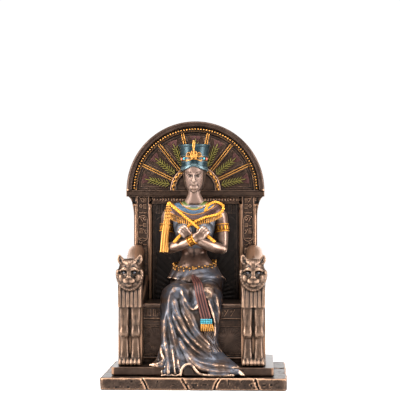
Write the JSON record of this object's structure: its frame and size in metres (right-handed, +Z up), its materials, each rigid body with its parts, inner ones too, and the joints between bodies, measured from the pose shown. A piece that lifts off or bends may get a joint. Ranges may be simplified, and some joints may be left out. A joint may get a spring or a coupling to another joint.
{
  "type": "egyptian queen figurine",
  "caption": "Bronze-finish figurine of an Egyptian queen with crook and flail on a lion throne with a round-topped back, on a stone-block plinth.",
  "frame": {"origin": "middle of the plinth's underside", "axes": "+Z up, the figure faces -Y, +X to the viewer's right"},
  "size_m": [0.175, 0.137, 0.2545],
  "materials": {
    "stone_base": "cold-cast resin blocks, dark bronze with worn pale edges",
    "throne_bronze": "cold-cast bronze, near-black recesses and rubbed copper edges",
    "figure_bronze": "cold-cast bronze with thin blue-grey, teal, red and gold paint",
    "gilt": "antique gold paint with dark wash"
  },
  "bodies": {
    "root": {"plinth": "stone_base", "throne": "throne_bronze", "queen": "figure_bronze", "crook": "gilt", "flail": "gilt"}
  },
  "joints": []
}
